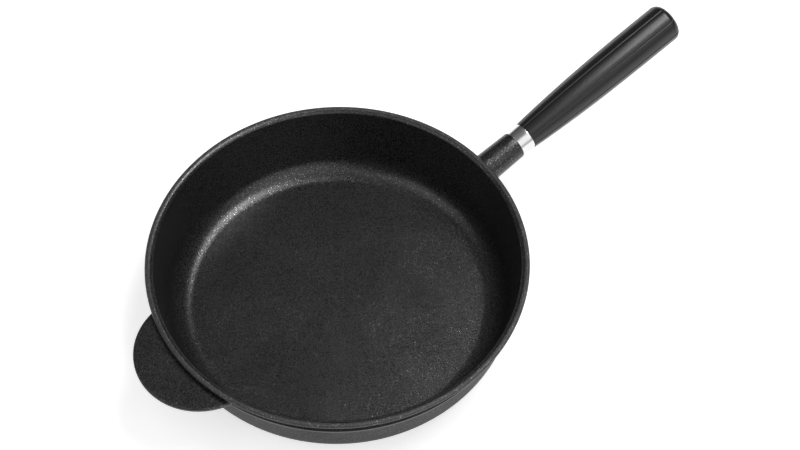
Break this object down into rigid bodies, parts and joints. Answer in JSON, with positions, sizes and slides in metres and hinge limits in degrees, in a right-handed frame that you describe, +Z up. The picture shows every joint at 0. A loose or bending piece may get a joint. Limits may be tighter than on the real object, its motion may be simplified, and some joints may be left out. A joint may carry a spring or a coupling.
{
  "type": "omelette pan",
  "caption": "Round deep cast pan with a crowned rim, a flat helper lobe and opposite it a grooved handle behind a polished ferrule, held on by a long screw through the grip.",
  "frame": {"origin": "centre of the flat underside, on the surface that the pan stands on", "axes": "+Z up along the bowl's axis, +X along the handle as seen from above, the helper lobe at -X"},
  "size_m": [0.5167, 0.29, 0.11],
  "materials": {
    "non_stick_casting": "cast aluminium with a black speckled non-stick coat",
    "polished_steel": "polished stainless steel",
    "moulded_grip": "satin black phenolic moulding",
    "zinc_steel": "bright zinc plate",
    "spring_steel": "phosphated spring steel"
  },
  "bodies": {
    "root": {"pan_body": "non_stick_casting", "handle_ferrule": "polished_steel", "handle_grip": "moulded_grip", "handle_screw": "zinc_steel", "flat_washer": "zinc_steel", "spring_washer": "spring_steel"}
  },
  "joints": []
}
